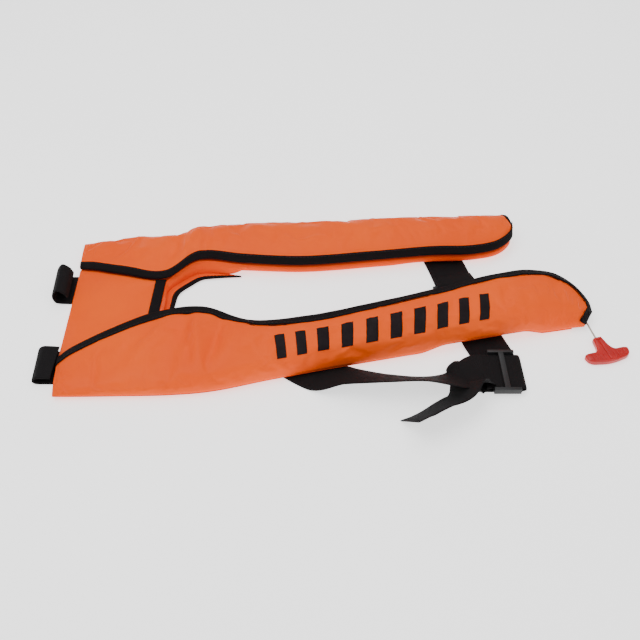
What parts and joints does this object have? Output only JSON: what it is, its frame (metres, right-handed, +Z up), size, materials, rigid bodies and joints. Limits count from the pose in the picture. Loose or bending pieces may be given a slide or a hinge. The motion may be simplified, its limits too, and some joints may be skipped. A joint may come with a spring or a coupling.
{
  "type": "inflatable life jacket",
  "caption": "Horseshoe inflatable life jacket in its folded orange cover, lying flat, with black bound edges, a waist belt with buckle and slider, and a red pull handle.",
  "frame": {"origin": "on the table under the middle of the outline of the jacket as it lies, without the thin pull lanyard", "axes": "+X from the back of the neck towards the tips of the lobes, +Y towards the left lobe of the wearer, +Z up from the table"},
  "size_m": [0.6906, 0.3666, 0.0407],
  "materials": {
    "cover_cloth": "polyurethane-coated woven polyester, satin",
    "lower_cloth": "coated woven polyester, matt",
    "binding_tape": "woven edge tape, matt",
    "hook_tape": "hook-and-loop tape",
    "webbing": "ribbed polyester webbing",
    "black_plastic": "moulded acetal, fine texture",
    "steel": "satin",
    "cylinder_steel": "grey lacquered steel",
    "seal_rubber": "matt",
    "brass": "turned",
    "green_plastic": "gloss",
    "bladder_cloth": "welded coated nylon, satin",
    "blue_plastic": "satin",
    "red_plastic": "gloss",
    "handle_plastic": "soft gloss",
    "whistle_plastic": "gloss",
    "lanyard_cord": "braided polyester cord"
  },
  "bodies": {
    "jacket": {"right_shoulder_cover": "cover_cloth", "left_shoulder_cover": "cover_cloth", "yoke_panel": "cover_cloth", "right_base": "lower_cloth", "left_base": "lower_cloth", "neck_gusset": "lower_cloth", "right_shoulder_binding": "binding_tape", "left_shoulder_binding": "binding_tape", "neck_binding": "binding_tape", "gusset_binding": "binding_tape", "back_loop_right": "webbing", "back_loop_left": "webbing", "waist_belt": "webbing", "far_strap": "webbing", "buckle_female": "black_plastic", "buckle_male": "black_plastic", "inflator_body": "black_plastic", "lever_pivot": "steel", "pin_spring": "steel", "co2_cylinder": "cylinder_steel", "cylinder_seal": "seal_rubber", "bladder_manifold": "brass", "manifold_cap_nut": "brass", "status_clip": "green_plastic", "bladder_right": "bladder_cloth", "bladder_left": "bladder_cloth", "bladder_back": "bladder_cloth", "oral_tube": "seal_rubber", "oral_valve": "black_plastic", "valve_spring": "steel", "whistle": "whistle_plastic", "lanyard_inner": "lanyard_cord"},
    "right_flap": {"right_flap": "cover_cloth", "right_flap_binding": "binding_tape", "right_hook_tape": "hook_tape"},
    "left_flap": {"left_flap": "cover_cloth", "left_flap_binding": "binding_tape", "left_hook_tape": "hook_tape"},
    "pull_handle": {"pull_handle": "handle_plastic", "lanyard_outer": "lanyard_cord"},
    "inflator_lever": {"inflator_lever": "red_plastic"},
    "piercing_pin": {"piercing_pin": "steel"},
    "latch_left": {"latch_arm_left": "black_plastic"},
    "latch_right": {"latch_arm_right": "black_plastic"},
    "slider": {"slider": "black_plastic"},
    "dust_cap": {"dust_cap": "red_plastic"},
    "valve_poppet": {"valve_poppet": "blue_plastic"}
  },
  "joints": [
    {"name": "right_flap_open", "type": "hinge", "parent": "jacket", "child": "right_flap", "pos_m": [0.09204, -0.06522, 0.0066], "axis": [0.9749, 0.2225, 0], "range_deg": [0, 85]},
    {"name": "left_flap_open", "type": "hinge", "parent": "jacket", "child": "left_flap", "pos_m": [0.05854, 0.17293, 0.0066], "axis": [-0.9979, -0.0643, 0], "range_deg": [0, 100]},
    {"name": "handle_pull", "type": "slide", "parent": "jacket", "child": "pull_handle", "axis": [0.2504, -0.9681, 0], "range_m": [0, 0.02]},
    {"name": "lever_swing", "type": "hinge", "parent": "jacket", "child": "inflator_lever", "pos_m": [0.1038, -0.02055, 0.0168], "axis": [0, 0, 1], "range_deg": [0, 61]},
    {"name": "pin_strike", "type": "slide", "parent": "jacket", "child": "piercing_pin", "axis": [-0.9748, -0.2232, 0], "range_m": [0, 0.0031], "deforming": ["pin_spring"]},
    {"name": "latch_left_press", "type": "hinge", "parent": "jacket", "child": "latch_left", "pos_m": [0.15351, 0.01413, 0.0045], "axis": [0, 0, -1], "range_deg": [0, 7]},
    {"name": "latch_right_press", "type": "hinge", "parent": "jacket", "child": "latch_right", "pos_m": [0.181, 0.01948, 0.0045], "axis": [0, 0, 1], "range_deg": [0, 7]},
    {"name": "slider_adjust", "type": "slide", "parent": "jacket", "child": "slider", "axis": [1, 0, 0], "range_m": [-0.0075, 0]},
    {"name": "dust_cap_pull", "type": "slide", "parent": "jacket", "child": "dust_cap", "axis": [0.998, 0.0628, 0], "range_m": [0, 0.014]},
    {"name": "valve_press", "type": "slide", "parent": "jacket", "child": "valve_poppet", "axis": [-0.998, -0.0628, 0], "range_m": [0, 0.0025], "stiffness_N_per_m": 150, "deforming": ["valve_spring"]}
  ],
  "couplings": [
    {"joint": "lever_swing", "follows": "handle_pull", "rad_per_m": 52.36},
    {"joint": "latch_left_press", "follows": "latch_right_press", "ratio": 1},
    {"joint": "pin_strike", "follows": "handle_pull", "ratio": 0.15}
  ]
}
